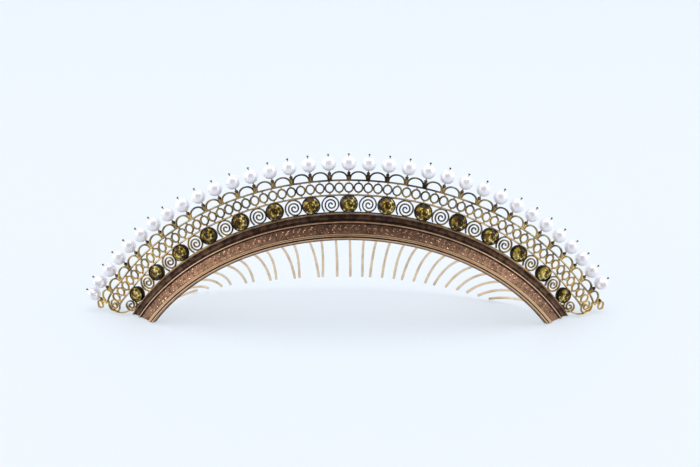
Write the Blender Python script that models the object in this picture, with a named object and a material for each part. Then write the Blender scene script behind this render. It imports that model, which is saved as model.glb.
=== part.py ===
# Gilt wirework tiara on a comb: a moulded band bent to an arch, a pierced gallery of rings,
# scrolls and arches standing on its outer edge, fifteen cut stones, pearls on pins and a
# comb of curved wire teeth behind. It stands on the two filed ends of its band.
# Metres, +Z up, the front towards -Y, the floor at z = 0.

import math

import bmesh
import bpy
from mathutils import Vector
from mathutils.geometry import delaunay_2d_cdt

MM = 0.001
CLEARANCE = 0.3 * MM

# The arch: a circle round the head, leaning forward, with the band and gallery splayed from it
ARC_RADIUS = 77.0 * MM
ARCH_LEAN = math.radians(10.0)
FOOT_ANGLE = math.radians(55.4)
BAND_SPLAY = math.radians(46.0)
GALLERY_SPLAY = math.radians(31.0)
PIN_SPLAY = math.radians(18.0)

# The moulded band
BAND_WIDTH = 7.7 * MM
BAND_RELIEF = 1.6 * MM
BAND_STEPS = 36

# The gallery, heights measured outwards from the band's outer edge
WIRE_DEPTH = 1.1 * MM
WIRE_WIDTH = 0.45 * MM
SCROLL_HEIGHT = 5.0 * MM
RING_ROW_HEIGHT = 4.3 * MM
ARCH_HEIGHT = 2.7 * MM
ARCH_OVERLAP = 0.05 * MM
BASE_RAIL_OVERHANG = math.radians(1.4)
RING_COUNT = 63
RING_HOLE = 1.8 * MM
SCALLOP_COUNT = 34
SCALLOP_OPENING = 3.7 * MM
SCROLL_TURNS = 1.9
SCROLL_PITCH = 0.95 * MM
SCROLL_TAIL = math.radians(240.0)
SCROLL_STEPS_PER_TURN = 9

# The stones in their collets
STONE_COUNT = 15
STONE_SPREAD = math.radians(54.8)
STONE_DIAMETER = 4.7 * MM
STONE_TAPER = 0.11
STONE_SIDES = 8
COLLET_WALL = 0.25 * MM
COLLET_HEIGHT = 0.9 * MM

# The pearls on their pins; the last pin on the right has lost its pearl
RING_SPREAD = math.radians(59.7)
SCALLOP_SPREAD = math.radians(61.2)
PEARL_DIAMETER = 4.35 * MM
PEARL_STAND = 0.1 * MM
PIN_WIDTH = 0.4 * MM
PIN_TIP = 0.3 * MM
PIN_CLEARANCE = 0.25 * MM
PEARL_SIDES = 10

# The comb
TOOTH_COUNT = 27
TOOTH_DIAMETER = 0.75 * MM
TOOTH_SPREAD = math.radians(53.3)
TOOTH_PITCH_LEFT = 3.77 * MM
TOOTH_PITCH_RIGHT = 3.35 * MM
TOOTH_REACH = 21.5 * MM
TOOTH_REACH_LEFT = 19.2 * MM
TOOTH_REACH_RIGHT = 13.9 * MM
TOOTH_TIP_LIFT = 4.0 * MM
TOOTH_PULL = 1.3 * MM
TOOTH_BOW = 0.7
TOOTH_RISE = 0.15
BAR_WIDTH = 2.2 * MM
BAR_THICKNESS = 0.8 * MM

# The free ends of the gallery turn forward and up, clear of the floor
END_TURN_START = math.radians(55.5)
END_TURN_FULL = math.radians(63.5)
END_FORWARD = 4.2 * MM
END_UP = 2.8 * MM
END_INWARD = 1.0 * MM

# What closes each free end: two scrolls, a ring and the swept wire under them
END_SCROLL_RADIUS = 1.8 * MM
END_SCROLL_TURNS = 1.5
END_INNER_SCROLL = math.radians(58.15)
END_INNER_HEIGHT = 2.5 * MM
END_OUTER_SCROLL = math.radians(61.35)
END_OUTER_HEIGHT = 6.9 * MM
END_RING = math.radians(63.7)
END_RING_HEIGHT = 10.6 * MM
END_RING_DIAMETER = 2.2 * MM
END_RING_HOLE = 1.24 * MM
END_KNOT_DIAMETER = 1.2 * MM
SWEEP_START = math.radians(57.4)
SWEEP_REACH = 8.6 * MM
SWEEP_RISE = 6.3 * MM

# Sizes that follow from the ones above
RAIL_HALF = WIRE_WIDTH / 2
BASE_RAIL = CLEARANCE + RAIL_HALF
INNER_RAIL = BASE_RAIL + SCROLL_HEIGHT
OUTER_RAIL = INNER_RAIL + RING_ROW_HEIGHT
ARCH_TOP = OUTER_RAIL + ARCH_HEIGHT
PEARL_CENTRE = ARCH_TOP + PEARL_STAND + PEARL_DIAMETER / 2
PIN_TOP = PEARL_CENTRE + PEARL_DIAMETER / 2 + PIN_TIP
ROW_CENTRE = (BASE_RAIL + INNER_RAIL) / 2
COLLET_RADIUS = SCROLL_HEIGHT / 2 + 0.9 * RAIL_HALF
SCROLL_RADIUS = (SCROLL_HEIGHT / 2 - 0.7 * RAIL_HALF) / abs(math.sin(SCROLL_TAIL))


def clear_scene():
    for item in list(bpy.data.objects):
        bpy.data.objects.remove(item, do_unlink=True)


def radial(angle):
    """Direction away from the arch's centre, in its leaning plane."""
    return Vector((math.sin(angle), -math.cos(angle) * math.sin(ARCH_LEAN),
                   math.cos(angle) * math.cos(ARCH_LEAN)))


FORWARD = Vector((0.0, -math.cos(ARCH_LEAN), -math.sin(ARCH_LEAN)))


def splayed(angle, splay):
    """Outward direction of a surface leaning back from the arch's plane, and its front normal."""
    out = radial(angle) * math.cos(splay) - FORWARD * math.sin(splay)
    front = radial(angle) * math.sin(splay) + FORWARD * math.cos(splay)
    return out, front


def band_section(across, depth):
    """Radius and forward offset of a point of the band's section."""
    radius = ARC_RADIUS - across * math.cos(BAND_SPLAY) + depth * math.sin(BAND_SPLAY)
    ahead = across * math.sin(BAND_SPLAY) + depth * math.cos(BAND_SPLAY)
    return radius, ahead


LOW_RADIUS, LOW_AHEAD = band_section(BAND_WIDTH, 0.0)
CENTRE_HEIGHT = (LOW_AHEAD * math.sin(ARCH_LEAN)
                 - LOW_RADIUS * math.cos(FOOT_ANGLE) * math.cos(ARCH_LEAN))
CENTRE = Vector((0.0, 0.0, CENTRE_HEIGHT))


def floor_angle(radius, ahead):
    """Angle at which a circle of the band meets the floor."""
    drop = ahead * math.sin(ARCH_LEAN) - CENTRE_HEIGHT
    return math.acos(drop / (radius * math.cos(ARCH_LEAN)))


def band_point(angle, across, depth):
    radius, ahead = band_section(across, depth)
    return CENTRE + radial(angle) * radius + FORWARD * ahead


def end_turn(angle):
    """How far the free end of the gallery has turned forward and up at this angle."""
    share = (abs(angle) - END_TURN_START) / (END_TURN_FULL - END_TURN_START)
    share = max(0.0, min(1.2, share))
    share = share * share * (3.0 - 2.0 * share) if share < 1.0 else share
    inward = -math.copysign(END_INWARD * share ** 3, angle)
    return Vector((inward, -END_FORWARD * share, END_UP * share))


def gallery_point(angle, height, depth):
    """A point of the gallery; above the arches it follows the pins, which lean less far back."""
    out, front = splayed(angle, GALLERY_SPLAY)
    point = CENTRE + radial(angle) * ARC_RADIUS + end_turn(angle)
    point += out * min(height, ARCH_TOP) + front * depth
    if height > ARCH_TOP:
        pin_out, pin_front = splayed(angle, PIN_SPLAY)
        point += pin_out * (height - ARCH_TOP) + (pin_front - front) * depth
    return point


def row_radius(height):
    return ARC_RADIUS + height * math.cos(GALLERY_SPLAY)


def stone_angle(index):
    return STONE_SPREAD * (2.0 * index / (STONE_COUNT - 1) - 1.0)


def stone_scale(index):
    share = abs(2.0 * index / (STONE_COUNT - 1) - 1.0)
    return 1.0 - STONE_TAPER * share * share


def ring_angle(index):
    return RING_SPREAD * (2.0 * index / (RING_COUNT - 1) - 1.0)


def scallop_angle(index):
    return SCALLOP_SPREAD * (2.0 * index / (SCALLOP_COUNT - 1) - 1.0)


SCALLOP_STEP = scallop_angle(1) - scallop_angle(0)


def pin_angle(index):
    """The pins stand where two arches meet, and before the first arch."""
    return scallop_angle(index) - SCALLOP_STEP / 2


def material(name, colour, roughness, metallic):
    paint = bpy.data.materials.new(name)
    paint.use_nodes = True
    shader = paint.node_tree.nodes["Principled BSDF"]
    shader.inputs["Base Color"].default_value = (*colour, 1.0)
    shader.inputs["Roughness"].default_value = roughness
    shader.inputs["Metallic"].default_value = metallic
    return paint


def add_object(name, verts, faces, paint, smooth=None):
    mesh = bpy.data.meshes.new(name)
    mesh.from_pydata([tuple(v) for v in verts], [], faces)
    mesh.materials.append(paint)
    if smooth is not None:
        mesh.shade_smooth()
        mesh.set_sharp_from_angle(angle=smooth)
    mesh.update()
    item = bpy.data.objects.new(name, mesh)
    bpy.context.scene.collection.objects.link(item)
    return item


def turn_outwards(item):
    """Points a closed mesh's faces outwards."""
    work = bmesh.new()
    work.from_mesh(item.data)
    bmesh.ops.recalc_face_normals(work, faces=work.faces)
    work.to_mesh(item.data)
    work.free()


# Section of the band from its outer edge inwards: share of the width, share of the relief
BAND_PROFILE = (
    (0.00, 0.00), (0.00, 0.90), (0.05, 1.00), (0.14, 0.62), (0.25, 0.55), (0.34, 1.00),
    (0.39, 0.98), (0.43, 0.62), (0.76, 0.62), (0.80, 0.98), (0.86, 0.98), (0.89, 0.66),
    (0.93, 0.95), (0.97, 0.85), (1.00, 0.40), (1.00, 0.00),
)


def make_band(paint):
    """The moulded strip, swept round the arch and filed off level where it meets the floor."""
    verts = []
    for step in range(BAND_STEPS + 1):
        share = 2.0 * step / BAND_STEPS - 1.0
        for across, depth in BAND_PROFILE:
            place = (across * BAND_WIDTH, depth * BAND_RELIEF)
            verts.append(band_point(share * floor_angle(*band_section(*place)), *place))
    count = len(BAND_PROFILE)
    faces = []
    for step in range(BAND_STEPS):
        for k in range(count):
            a = step * count + k
            b = step * count + (k + 1) % count
            faces.append((a, b, b + count, a + count))
    last = BAND_STEPS * count
    faces.append(tuple(range(count)))
    faces.append(tuple(last + k for k in range(count)))
    band = add_object("comb_band", verts, faces, paint)
    turn_outwards(band)


def circle(radius, sides, turn=0.0, squash=1.0):
    return [(radius * math.cos(turn + math.tau * k / sides),
             radius * squash * math.sin(turn + math.tau * k / sides)) for k in range(sides)]


def ribbon(points, width):
    """Outline of a strip of this width along a flat line of points."""
    left, right = [], []
    for k, point in enumerate(points):
        before = Vector(points[max(k - 1, 0)])
        after = Vector(points[min(k + 1, len(points) - 1)])
        along = (after - before).normalized()
        side = Vector((-along.y, along.x)) * width / 2
        left.append(tuple(Vector(point) + side))
        right.append(tuple(Vector(point) - side))
    return left + right[::-1]


def counter_clockwise(outline):
    """The outline in the order that keeps its inside on the left."""
    doubled = sum(a[0] * b[1] - b[0] * a[1] for a, b in zip(outline, outline[1:] + outline[:1]))
    return outline if doubled > 0.0 else outline[::-1]


def scroll_line(radius, turns, hand, start):
    """A flat spiral wound inwards from its tail."""
    steps = round(turns * SCROLL_STEPS_PER_TURN)
    line = []
    for k in range(steps + 1):
        swept = turns * math.tau * k / steps
        reach = radius - SCROLL_PITCH * swept / math.tau
        line.append((reach * math.cos(start + hand * swept), reach * math.sin(start + hand * swept)))
    return line


def sheet_outlines():
    """Every strip and opening of the gallery, laid flat as (angle, height) outlines."""
    outlines = []

    def add(kind, shape, angle, height):
        around = row_radius(height)
        laid = [(angle + x / around, height + y) for x, y in shape]
        outlines.append((kind, counter_clockwise(laid)))

    def add_rail(kind, low, high, spread, steps):
        angles = [spread * (2.0 * k / steps - 1.0) for k in range(steps + 1)]
        edge = [(a, low) for a in angles] + [(a, high) for a in reversed(angles)]
        outlines.append((kind, edge))

    ring_step = ring_angle(1) - ring_angle(0)
    add_rail("wire", CLEARANCE, CLEARANCE + WIRE_WIDTH, STONE_SPREAD + BASE_RAIL_OVERHANG,
             2 * STONE_COUNT)
    add_rail("row", INNER_RAIL - RAIL_HALF, OUTER_RAIL + RAIL_HALF, RING_SPREAD + ring_step * 0.5,
             SCALLOP_COUNT)
    ring_centre = (INNER_RAIL + OUTER_RAIL) / 2
    for k in range(RING_COUNT):
        add("row_hole", circle(RING_HOLE / 2, 6, math.pi / 6, 1.25), ring_angle(k), ring_centre)

    reach = SCALLOP_STEP * row_radius(OUTER_RAIL) / 2 + ARCH_OVERLAP
    top = ARCH_HEIGHT
    outer = [(-reach, 0.0), (-reach, 0.32 * top), (-0.72 * reach, 0.72 * top),
             (-0.27 * reach, top), (0.27 * reach, top), (0.72 * reach, 0.72 * top),
             (reach, 0.32 * top), (reach, 0.0)]
    half = SCALLOP_OPENING / 2
    rise = top - WIRE_WIDTH - RAIL_HALF
    opening = [(-half, RAIL_HALF)]
    for k in range(1, 4):
        swept = math.pi * (1.0 - k / 4.0)
        opening.append((half * math.cos(swept), RAIL_HALF + rise * math.sin(swept)))
    opening.append((half, RAIL_HALF))
    for k in range(SCALLOP_COUNT):
        add("arch", outer, scallop_angle(k), OUTER_RAIL)
        add("arch_hole", opening, scallop_angle(k), OUTER_RAIL)
        right = [(PIN_WIDTH / 2, 0.2 * top), (PIN_WIDTH / 2, top),
                 (PIN_WIDTH / 2, PIN_TOP - OUTER_RAIL)]
        left = [(-x, y) for x, y in reversed(right)]
        add("wire", right + left, pin_angle(k), OUTER_RAIL)

    for k in range(STONE_COUNT):
        bore = STONE_DIAMETER / 2 * stone_scale(k)
        add("collet", circle(COLLET_RADIUS, 10), stone_angle(k), ROW_CENTRE)
        add("collet_hole", circle(bore, STONE_SIDES), stone_angle(k), ROW_CENTRE)
    scroll = ribbon(scroll_line(SCROLL_RADIUS, SCROLL_TURNS, -1.0, SCROLL_TAIL), WIRE_WIDTH)
    for k in range(STONE_COUNT - 1):
        add("wire", scroll, (stone_angle(k) + stone_angle(k + 1)) / 2, ROW_CENTRE)
    add_ends(add)
    return outlines


# The swept wire from the band's corner outwards: shares of its reach and of its rise
SWEEP_LINE = (
    (-0.22, 0.12), (0.02, 0.15), (0.26, 0.22), (0.48, 0.36), (0.65, 0.53), (0.77, 0.73),
    (0.78, 1.00),
)


def add_ends(add):
    """Closes both free ends of the rows."""
    knot = SCALLOP_SPREAD + SCALLOP_STEP / 2
    for side in (-1.0, 1.0):
        inner = scroll_line(END_SCROLL_RADIUS, END_SCROLL_TURNS, side,
                            math.radians(90.0 + side * 60.0))
        add("wire", ribbon(inner, WIRE_WIDTH), side * END_INNER_SCROLL, END_INNER_HEIGHT)
        outer = scroll_line(END_SCROLL_RADIUS, END_SCROLL_TURNS, -side,
                            math.radians(90.0 - side * 20.0))
        add("wire", ribbon(outer, WIRE_WIDTH), side * END_OUTER_SCROLL, END_OUTER_HEIGHT)
        add("wire", circle(END_KNOT_DIAMETER / 2, 6), side * knot,
            END_RING_HEIGHT + 0.4 * END_KNOT_DIAMETER)
        add("ring", circle(END_RING_DIAMETER / 2, 8), side * END_RING, END_RING_HEIGHT)
        add("ring_hole", circle(END_RING_HOLE / 2, 6), side * END_RING, END_RING_HEIGHT)
        sweep = [(side * x * SWEEP_REACH, y * SWEEP_RISE) for x, y in SWEEP_LINE]
        add("wire", ribbon(sweep, WIRE_WIDTH), side * SWEEP_START, 0.0)


CUT_BY = {"row": "row_hole", "arch": "arch_hole", "collet": "collet_hole", "ring": "ring_hole"}


def solid_here(kinds):
    """True where at least one strip is left after its own openings are cut."""
    for kind in kinds:
        if kind == "wire" or (kind in CUT_BY and CUT_BY[kind] not in kinds):
            return True
    return False


def without_inner_points(flat, metal):
    """The same flat shape triangulated from its outline alone."""
    sides = {(tri[k], tri[(k + 1) % 3]) for tri in metal for k in range(3)}
    border = [pair for pair in sides if pair[::-1] not in sides]
    used = sorted({k for pair in border for k in pair})
    order = {k: n for n, k in enumerate(used)}
    rim = [(order[a], order[b]) for a, b in border]
    points, _, triangles, _, _, _ = delaunay_2d_cdt([flat[k] for k in used], rim, [], 0, 1e-6)
    wall = set(rim)
    neighbours = {}
    for n, tri in enumerate(triangles):
        for k in range(3):
            neighbours[(tri[k], tri[(k + 1) % 3])] = n
    # A border edge has metal on its left, so the triangles there are metal, and it spreads inwards
    inside = {neighbours[pair] for pair in wall}
    queue = list(inside)
    while queue:
        tri = triangles[queue.pop()]
        for k in range(3):
            pair = (tri[k], tri[(k + 1) % 3])
            if pair in wall:
                continue
            other = neighbours.get(pair[::-1])
            if other is not None and other not in inside:
                inside.add(other)
                queue.append(other)
    return points, [triangles[n] for n in sorted(inside)]


def pin_share(angle, height):
    """How far the metal here has thinned from the depth of the wirework to that of a pin."""
    nearest = min(range(SCALLOP_COUNT), key=lambda k: abs(pin_angle(k) - angle))
    if abs(pin_angle(nearest) - angle) * row_radius(height) > PIN_WIDTH:
        return 0.0
    start = OUTER_RAIL + 0.45 * ARCH_HEIGHT
    return max(0.0, min(1.0, (height - start) / (ARCH_TOP - start)))


def collet_rise(angle, height):
    """Extra height of the metal on the rim of the nearest collet's bore."""
    nearest = min(range(STONE_COUNT), key=lambda k: abs(stone_angle(k) - angle))
    across = (angle - stone_angle(nearest)) * row_radius(ROW_CENTRE)
    away = math.hypot(across, height - ROW_CENTRE)
    bore = STONE_DIAMETER / 2 * stone_scale(nearest)
    return COLLET_HEIGHT if away < bore + COLLET_WALL / 2 else 0.0


def make_gallery(paint):
    """The wirework as one pierced sheet, triangulated flat, thickened and bent to the arch."""
    scale = row_radius(ROW_CENTRE)
    points, faces, kinds = [], [], []
    for kind, outline in sheet_outlines():
        first = len(points)
        points.extend(Vector((angle * scale, height)) * 1000.0 for angle, height in outline)
        faces.append(list(range(first, len(points))))
        kinds.append(kind)
    flat, _, triangles, _, _, origins = delaunay_2d_cdt(points, [], faces, 1, 1e-4)
    metal = [tri for tri, origin in zip(triangles, origins)
             if solid_here({kinds[k] for k in origin})]
    flat, kept = without_inner_points(flat, metal)
    used = sorted({k for tri in kept for k in tri})
    order = {k: n for n, k in enumerate(used)}
    verts = []
    for side in (1.0, -1.0):
        for k in used:
            angle = flat[k].x / 1000.0 / scale
            height = flat[k].y / 1000.0
            share = pin_share(angle, height)
            depth = side * (WIRE_DEPTH * (1.0 - share) + PIN_WIDTH * share) / 2
            if side > 0.0:
                depth += collet_rise(angle, height)
            verts.append(gallery_point(angle, height, depth))
    count = len(used)
    solid = []
    edges = {}
    for tri in kept:
        a, b, c = (order[k] for k in tri)
        solid.append((a, b, c))
        solid.append((c + count, b + count, a + count))
        for pair in ((a, b), (b, c), (c, a)):
            edges[pair] = True
    for a, b in edges:
        if (b, a) not in edges:
            solid.append((b, a, a + count, b + count))
    gallery = add_object("gallery", verts, solid, paint)
    turn_outwards(gallery)


def make_stone(index, paint):
    """A round brilliant cut: table, crown, girdle and a pavilion running to a point."""
    radius = STONE_DIAMETER / 2 * stone_scale(index) - CLEARANCE
    angle = stone_angle(index)
    out, front = splayed(angle, GALLERY_SPLAY)
    along = out.cross(front)
    middle = gallery_point(angle, ROW_CENTRE, 0.0)
    levels = ((0.58, WIRE_DEPTH / 2 + COLLET_HEIGHT + 0.34 * radius),
              (1.0, WIRE_DEPTH / 2 + COLLET_HEIGHT), (1.0, WIRE_DEPTH / 2 + 0.75 * COLLET_HEIGHT))
    verts = []
    for share, lift in levels:
        for x, y in circle(radius * share, STONE_SIDES):
            verts.append(middle + along * x + out * y + front * lift)
    verts.append(middle + front * (-0.4 * WIRE_DEPTH))
    sides = STONE_SIDES
    faces = [tuple(range(sides))]
    for level in range(2):
        for k in range(sides):
            a = level * sides + k
            b = level * sides + (k + 1) % sides
            faces.append((a, a + sides, b + sides, b))
    for k in range(sides):
        faces.append((2 * sides + k, 3 * sides, 2 * sides + (k + 1) % sides))
    stone = add_object("stone_%02d" % (index + 1), verts, faces, paint)
    turn_outwards(stone)


def make_pearl(index, paint):
    """A drilled bead on its pin."""
    angle = pin_angle(index)
    out, front = splayed(angle, PIN_SPLAY)
    along = out.cross(front)
    middle = gallery_point(angle, PEARL_CENTRE, 0.0)
    radius = PEARL_DIAMETER / 2
    hole = PIN_WIDTH * math.sqrt(0.5) + PIN_CLEARANCE
    rim = math.asin(hole / radius)
    arc = 4
    profile = []
    for k in range(arc + 1):
        polar = rim + (math.pi - 2.0 * rim) * k / arc
        profile.append((radius * math.sin(polar), radius * math.cos(polar)))
    verts = []
    for reach, height in profile:
        for x, y in circle(reach, PEARL_SIDES):
            verts.append(middle + along * x + front * y + out * height)
    sides = PEARL_SIDES
    faces = []
    for level in range(arc + 1):
        after = (level + 1) % (arc + 1)
        for k in range(sides):
            n = (k + 1) % sides
            faces.append((level * sides + k, after * sides + k, after * sides + n,
                          level * sides + n))
    pearl = add_object("pearl_%02d" % (index + 1), verts, faces, paint, math.radians(60.0))
    turn_outwards(pearl)


def tube(verts, faces, line, radius, sides):
    """Adds a closed round wire along a line of points."""
    first = len(verts)
    for k, point in enumerate(line):
        along = (line[min(k + 1, len(line) - 1)] - line[max(k - 1, 0)]).normalized()
        side = along.cross(Vector((1.0, 0.0, 0.0))).normalized()
        up = along.cross(side)
        for x, y in circle(radius, sides):
            verts.append(point + side * x + up * y)
    for k in range(len(line) - 1):
        for n in range(sides):
            a = first + k * sides + n
            b = first + k * sides + (n + 1) % sides
            faces.append((a, b, b + sides, a + sides))
    last = first + (len(line) - 1) * sides
    faces.append(tuple(first + n for n in range(sides)))
    faces.append(tuple(last + n for n in range(sides)))


FRONT_CORNER = band_point(floor_angle(LOW_RADIUS, LOW_AHEAD), BAND_WIDTH, 0.0)


def tooth_drift(number):
    """Sideways bend of a tooth's tip: the left-hand teeth have been bent together in pairs."""
    if number < -1:
        return -TOOTH_PULL if number % 2 == 0 else TOOTH_PULL
    return 0.4 * TOOTH_PULL * math.sin(2.1 * number)


def tooth_line(number):
    """Centre line of one tooth, out of the bar, back over the hair and down to its tip."""
    half = (TOOTH_COUNT - 1) // 2
    angle = TOOTH_SPREAD * number / half
    share = (number / half) ** 2
    pitch = TOOTH_PITCH_LEFT if number < 0 else TOOTH_PITCH_RIGHT
    reach_side = TOOTH_REACH_LEFT if number < 0 else TOOTH_REACH_RIGHT
    _, front = splayed(angle, BAND_SPLAY)
    root = band_point(angle, BAND_WIDTH / 2, -CLEARANCE - BAR_THICKNESS / 2)
    tip = Vector((pitch * number + tooth_drift(number) * (1.0 - share),
                  FRONT_CORNER.y + TOOTH_REACH + (reach_side - TOOTH_REACH) * share,
                  TOOTH_DIAMETER / 2 + TOOTH_TIP_LIFT * (1.0 - share)))
    length = (tip - root).length
    bend = root - front * length * TOOTH_BOW + Vector((0.0, 0.0, length * TOOTH_RISE))
    steps = 5
    line = []
    for k in range(steps + 1):
        t = k / steps
        line.append(root * (1.0 - t) ** 2 + bend * 2.0 * t * (1.0 - t) + tip * t * t)
    return line


def make_comb(paint):
    """The bar behind the band with its teeth soldered on: one piece."""
    verts, faces = [], []
    low = (BAND_WIDTH - BAR_WIDTH) / 2
    corners = ((low, -CLEARANCE), (low + BAR_WIDTH, -CLEARANCE),
               (low + BAR_WIDTH, -CLEARANCE - BAR_THICKNESS), (low, -CLEARANCE - BAR_THICKNESS))
    spread = TOOTH_SPREAD + 0.03
    steps = BAND_STEPS
    for k in range(steps + 1):
        for across, depth in corners:
            verts.append(band_point(spread * (2.0 * k / steps - 1.0), across, depth))
    for k in range(steps):
        for n in range(4):
            a, b = 4 * k + n, 4 * k + (n + 1) % 4
            faces.append((a, b, b + 4, a + 4))
    faces.append((0, 1, 2, 3))
    faces.append(tuple(4 * steps + n for n in range(4)))
    comb = add_object("comb", verts, faces, paint, math.radians(50.0))
    turn_outwards(comb)

    verts, faces = [], []
    half = (TOOTH_COUNT - 1) // 2
    for number in range(-half, half + 1):
        tube(verts, faces, tooth_line(number), TOOTH_DIAMETER / 2, 5)
    teeth = add_object("teeth_cutter", verts, faces, paint, math.radians(50.0))
    turn_outwards(teeth)
    teeth.hide_render = True
    teeth.display_type = "WIRE"
    union = comb.modifiers.new("teeth", "BOOLEAN")
    union.operation = "UNION"
    union.object = teeth


def centre_on_footprint():
    """Moves every mesh so that the origin is the middle of the footprint."""
    items = [item for item in bpy.data.objects if item.type == "MESH"]
    for axis in (0, 1):
        places = [v.co[axis] for item in items for v in item.data.vertices]
        shift = (min(places) + max(places)) / 2
        for item in items:
            for vertex in item.data.vertices:
                vertex.co[axis] -= shift
    for item in items:
        item.data.update()


def main():
    clear_scene()
    band_metal = material("gilt_stamping", (0.42, 0.20, 0.11), 0.38, 1.0)
    wire_metal = material("gilt_wire", (0.52, 0.36, 0.16), 0.34, 1.0)
    comb_metal = material("comb_wire", (0.62, 0.48, 0.34), 0.36, 1.0)
    paste = material("olive_paste", (0.24, 0.22, 0.04), 0.06, 0.0)
    nacre = material("pearl", (0.88, 0.87, 0.88), 0.22, 0.0)
    make_band(band_metal)
    make_gallery(wire_metal)
    make_comb(comb_metal)
    for index in range(STONE_COUNT):
        make_stone(index, paste)
    for index in range(SCALLOP_COUNT):
        make_pearl(index, nacre)
    centre_on_footprint()


main()
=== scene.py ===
# %% [markdown]
# # A wirework tiara comb
# This lesson dresses the plain solids of a gilt tiara: a stamped band bent to an arch, a pierced
# gallery of wire rings, scrolls and arches, cut stones, pearls on pins, and a comb behind.
# The solids come in as a fixed frame. Fine pieces are laid over them, each in the same place and
# to the same sizes, and the plain ones are then hidden.

# %% The frame
import random
from math import acos, cos, pi, radians, sin, tau

import bmesh
import bpy
from mathutils import Matrix, Vector


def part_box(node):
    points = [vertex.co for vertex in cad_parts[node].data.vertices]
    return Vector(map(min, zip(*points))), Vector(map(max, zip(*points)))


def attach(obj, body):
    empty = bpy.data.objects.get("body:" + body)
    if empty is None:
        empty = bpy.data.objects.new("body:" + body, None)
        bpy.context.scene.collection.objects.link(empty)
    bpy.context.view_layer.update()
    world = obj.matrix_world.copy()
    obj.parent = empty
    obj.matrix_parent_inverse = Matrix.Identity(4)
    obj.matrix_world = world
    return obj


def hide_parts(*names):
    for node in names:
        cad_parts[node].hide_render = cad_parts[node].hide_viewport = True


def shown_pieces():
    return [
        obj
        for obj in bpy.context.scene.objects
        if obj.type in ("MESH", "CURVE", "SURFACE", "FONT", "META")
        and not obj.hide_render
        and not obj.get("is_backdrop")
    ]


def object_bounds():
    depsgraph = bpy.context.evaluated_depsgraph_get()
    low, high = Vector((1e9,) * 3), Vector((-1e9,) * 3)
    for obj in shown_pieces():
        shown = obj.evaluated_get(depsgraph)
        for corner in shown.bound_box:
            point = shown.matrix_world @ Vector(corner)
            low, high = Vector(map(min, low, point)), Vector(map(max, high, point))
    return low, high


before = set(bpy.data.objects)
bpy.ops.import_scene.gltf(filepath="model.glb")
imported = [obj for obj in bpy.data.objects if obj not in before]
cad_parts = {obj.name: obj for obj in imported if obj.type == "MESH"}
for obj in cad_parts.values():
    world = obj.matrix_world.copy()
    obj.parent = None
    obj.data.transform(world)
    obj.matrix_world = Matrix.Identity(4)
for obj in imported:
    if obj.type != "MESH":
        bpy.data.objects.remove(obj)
size_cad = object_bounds()
print("CAD box, mm:", [[round(v * 1000, 1) for v in corner] for corner in size_cad])

# %% [markdown]
# ## The sizes
# A maker works out such a piece from a few lengths: the arch, the widths of the rows, the wire.
# They are the same as the solids have, so whatever is laid out with them lands on the solids.

# %% Sizes of the arch and its rows
MM = 0.001
ARC_RADIUS = 77.0 * MM
ARCH_LEAN = radians(10.0)
FOOT_ANGLE = radians(55.4)
BAND_SPLAY = radians(46.0)
GALLERY_SPLAY = radians(31.0)
PIN_SPLAY = radians(18.0)
BAND_WIDTH = 7.7 * MM
BAND_RELIEF = 1.6 * MM
WIRE_DEPTH = 1.1 * MM
WIRE_WIDTH = 0.45 * MM
CLEARANCE = 0.3 * MM
BASE_RAIL = CLEARANCE + WIRE_WIDTH / 2
INNER_RAIL = BASE_RAIL + 5.0 * MM
OUTER_RAIL = INNER_RAIL + 4.3 * MM
ARCH_HEIGHT = 2.7 * MM
ARCH_TOP = OUTER_RAIL + ARCH_HEIGHT
STONE_COUNT, RING_COUNT, ARCH_COUNT = 15, 63, 34
STONE_SPREAD = radians(54.8)
RING_SPREAD = radians(59.7)
ARCH_SPREAD = radians(61.2)
ARCH_STEP = 2 * ARCH_SPREAD / (ARCH_COUNT - 1)
STONE_RADIUS = 2.35 * MM
STONE_TAPER = 0.11
PEARL_RADIUS = 2.175 * MM
ROW_CENTRE = (BASE_RAIL + INNER_RAIL) / 2
RING_CENTRE = (INNER_RAIL + OUTER_RAIL) / 2
END_TURN_START, END_TURN_FULL = radians(55.5), radians(63.5)
END_FORWARD, END_UP, END_INWARD = 4.2 * MM, 2.8 * MM, 1.0 * MM


def row_radius(height):
    """Distance of a row of the gallery from the middle of the arch."""
    return ARC_RADIUS + height * cos(GALLERY_SPLAY)


def band_section(across, depth):
    """Radius and forward offset of a point of the band's section."""
    return (ARC_RADIUS - across * cos(BAND_SPLAY) + depth * sin(BAND_SPLAY),
            across * sin(BAND_SPLAY) + depth * cos(BAND_SPLAY))


LOW_RADIUS, LOW_AHEAD = band_section(BAND_WIDTH, 0.0)
CENTRE_HEIGHT = (LOW_AHEAD * sin(ARCH_LEAN)
                 - LOW_RADIUS * cos(FOOT_ANGLE) * cos(ARCH_LEAN))
back_foot = acos(-CENTRE_HEIGHT / (ARC_RADIUS * cos(ARCH_LEAN)))
back_of_foot = -ARC_RADIUS * cos(back_foot) * sin(ARCH_LEAN)
band_low, band_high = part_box("comb_band")
CENTRE_SIDE = (band_low.x + band_high.x) / 2
CENTRE_DEPTH = band_high.y - back_of_foot
print("middle of the arch, mm:",
      [round(v * 1000, 2) for v in (CENTRE_SIDE, CENTRE_DEPTH, CENTRE_HEIGHT)])

# %% [markdown]
# ## Helpers for node trees
# Every tree below is a row of small sums, so a few helpers keep it readable: they add a node, feed
# it with numbers or with other nodes' outputs, and join nodes in a chain.


# %% Node helpers
def add_node(tree, kind, **settings):
    made = tree.nodes.new(kind)
    for name, value in settings.items():
        setattr(made, name, value)
    return made


def feed(tree, socket, value):
    """Joins an output to this socket, or types a value into it."""
    if isinstance(value, bpy.types.NodeSocket):
        tree.links.new(value, socket)
    else:
        socket.default_value = value


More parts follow.
